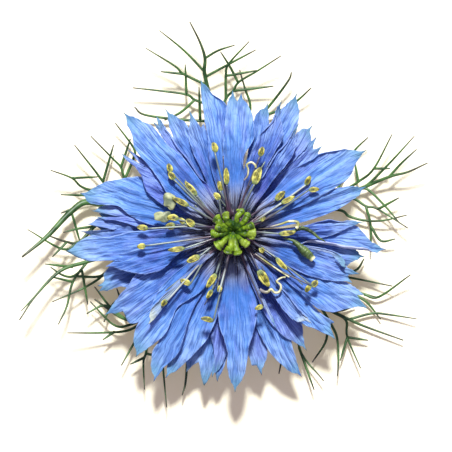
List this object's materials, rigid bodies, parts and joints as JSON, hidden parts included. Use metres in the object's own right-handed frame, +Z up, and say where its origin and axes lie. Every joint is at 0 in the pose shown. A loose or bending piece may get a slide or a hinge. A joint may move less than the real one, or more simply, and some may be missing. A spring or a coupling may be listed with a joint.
{
  "type": "nigella flower",
  "caption": "Double blue love-in-a-mist bloom with toothed petals in nested levels, long stamens, horned green pistil and a ruff of thread-like leaves.",
  "frame": {"origin": "centre of the stem's flat cut face, on the surface the bloom lies on", "axes": "+Z up, out of the face of the bloom; +X to the right and +Y to the top of the picture"},
  "size_m": [0.0683, 0.0645, 0.0163],
  "materials": {
    "petal": "matte, finely veined, sky blue to violet with teal tips",
    "leaf": "matte green, brownish at the tips",
    "stem": "satin fresh green",
    "stamen": "matte yellow anthers on maroon to pale filaments",
    "pistil": "satin lime green"
  },
  "bodies": {
    "root": {"stem": "stem", "bract_top": "leaf", "bract_right": "leaf", "bract_lower_right": "leaf", "bract_lower_left": "leaf", "bract_left": "leaf", "petal_01": "petal", "petal_02": "petal", "petal_03": "petal", "petal_04": "petal", "petal_05": "petal", "petal_06": "petal", "petal_07": "petal", "petal_08": "petal", "petal_09": "petal", "petal_10": "petal", "petal_11": "petal", "petal_12": "petal", "petal_13": "petal", "petal_14": "petal", "petal_15": "petal", "petal_16": "petal", "petal_17": "petal", "petal_18": "petal", "petal_19": "petal", "petal_20": "petal", "petal_21": "petal", "petal_22": "petal", "petal_23": "petal", "petal_24": "petal", "petal_25": "petal", "petal_26": "petal", "petal_27": "petal", "petal_28": "petal", "petal_29": "petal", "petal_30": "petal", "petal_31": "petal", "petal_32": "petal", "petal_33": "petal", "petal_34": "petal", "petal_35": "petal", "petaloid_1": "petal", "petaloid_2": "petal", "petaloid_3": "petal", "petaloid_4": "petal", "stamens": "stamen", "pistil": "pistil"}
  },
  "joints": []
}
